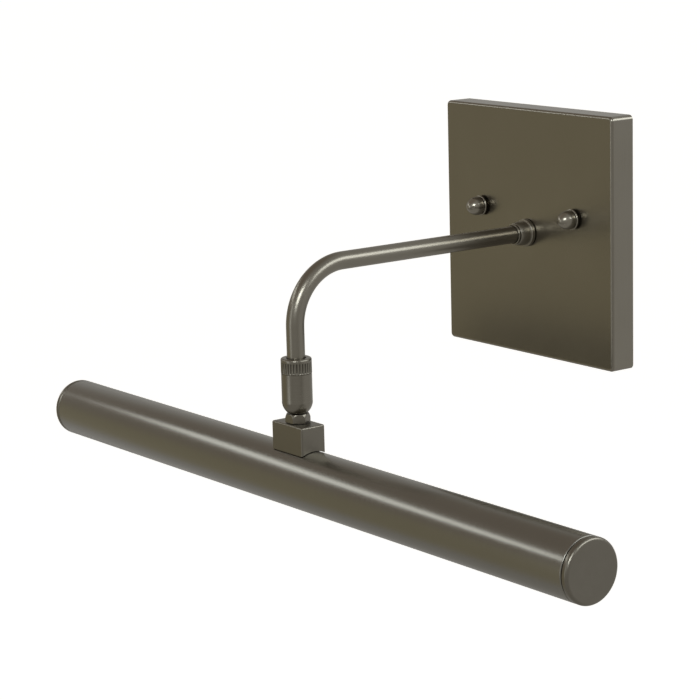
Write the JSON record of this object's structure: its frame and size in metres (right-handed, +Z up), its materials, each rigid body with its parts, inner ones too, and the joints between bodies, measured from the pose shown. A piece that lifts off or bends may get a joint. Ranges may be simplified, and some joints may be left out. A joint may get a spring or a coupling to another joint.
{
  "type": "picture light",
  "caption": "Wall picture light with a square cover plate, a bent arm, a ball joint in a knurled sleeve and a slim lamp tube.",
  "frame": {"origin": "centre of the cover plate's back on the wall plane, on the arm's axis", "axes": "+Z up, +Y into the wall, -Y towards the viewer, +X along the lamp tube to its right end"},
  "size_m": [0.3758, 0.1585, 0.1633],
  "materials": {
    "satin_nickel": "satin, dark nickel",
    "zinc_steel": "zinc plated",
    "spring_steel": "bright",
    "green_steel": "green",
    "plain_brass": "turned",
    "anodised_aluminium": "anodised",
    "white_plastic": "matte",
    "black_plastic": "matte",
    "red_plastic": "matte",
    "opal_plastic": "frosted",
    "board_white": "solder mask",
    "board_green": "solder mask"
  },
  "bodies": {
    "fixture": {"back_plate": "satin_nickel", "mounting_bar": "zinc_steel", "ground_screw": "green_steel", "stud_left": "zinc_steel", "stud_right": "zinc_steel", "stud_nut_left": "zinc_steel", "stud_nut_right": "zinc_steel", "arm_tube": "satin_nickel", "arm_collar": "satin_nickel", "arm_ferrule": "satin_nickel", "arm_nipple": "plain_brass", "nipple_washer": "spring_steel", "nipple_nut": "zinc_steel", "nipple_bushing": "white_plastic", "supply_lead_white": "white_plastic", "supply_lead_black": "black_plastic", "wire_connector_white": "white_plastic", "wire_connector_black": "black_plastic", "swivel_fitting": "plain_brass", "spring_washer": "spring_steel"},
    "thumb_nut_left_body": {"thumb_nut_left": "satin_nickel"},
    "thumb_nut_right_body": {"thumb_nut_right": "satin_nickel"},
    "sleeve": {"clamp_sleeve": "satin_nickel"},
    "cup": {"friction_cup": "plain_brass"},
    "ring": {"seat_ring": "white_plastic"},
    "head": {"ball_stud": "satin_nickel", "saddle_block": "satin_nickel", "lamp_tube": "satin_nickel", "end_cap_left": "satin_nickel", "end_cap_right": "satin_nickel", "shank_washer": "zinc_steel", "shank_nut": "zinc_steel", "lamp_lead_black": "black_plastic", "lamp_lead_white": "white_plastic", "light_channel": "anodised_aluminium", "led_board": "board_white", "diffuser": "opal_plastic", "driver_board": "board_green", "board_lead_plus": "red_plastic", "board_lead_minus": "black_plastic"}
  },
  "joints": [
    {"name": "thumb_nut_left_turn", "type": "hinge", "parent": "fixture", "child": "thumb_nut_left_body", "pos_m": [-0.03175, -0.0173, 0.0095], "axis": [0, -1, 0], "continuous": true},
    {"name": "thumb_nut_right_turn", "type": "hinge", "parent": "fixture", "child": "thumb_nut_right_body", "pos_m": [0.03175, -0.0173, 0.0095], "axis": [0, -1, 0], "continuous": true},
    {"name": "sleeve_turn", "type": "hinge", "parent": "fixture", "child": "sleeve", "pos_m": [0, -0.1451, -0.0583], "axis": [0, 0, 1], "range_deg": [0, 180]},
    {"name": "head_yaw", "type": "hinge", "parent": "fixture", "child": "cup", "pos_m": [0, -0.1451, -0.0583], "axis": [0, 0, 1], "range_deg": [-45, 45]},
    {"name": "head_tilt", "type": "hinge", "parent": "cup", "child": "ring", "pos_m": [0, -0.1451, -0.0583], "axis": [1, 0, 0], "range_deg": [-18, 18]},
    {"name": "head_roll", "type": "hinge", "parent": "ring", "child": "head", "pos_m": [0, -0.1451, -0.0583], "axis": [0, 1, 0], "range_deg": [-8, 8]}
  ]
}
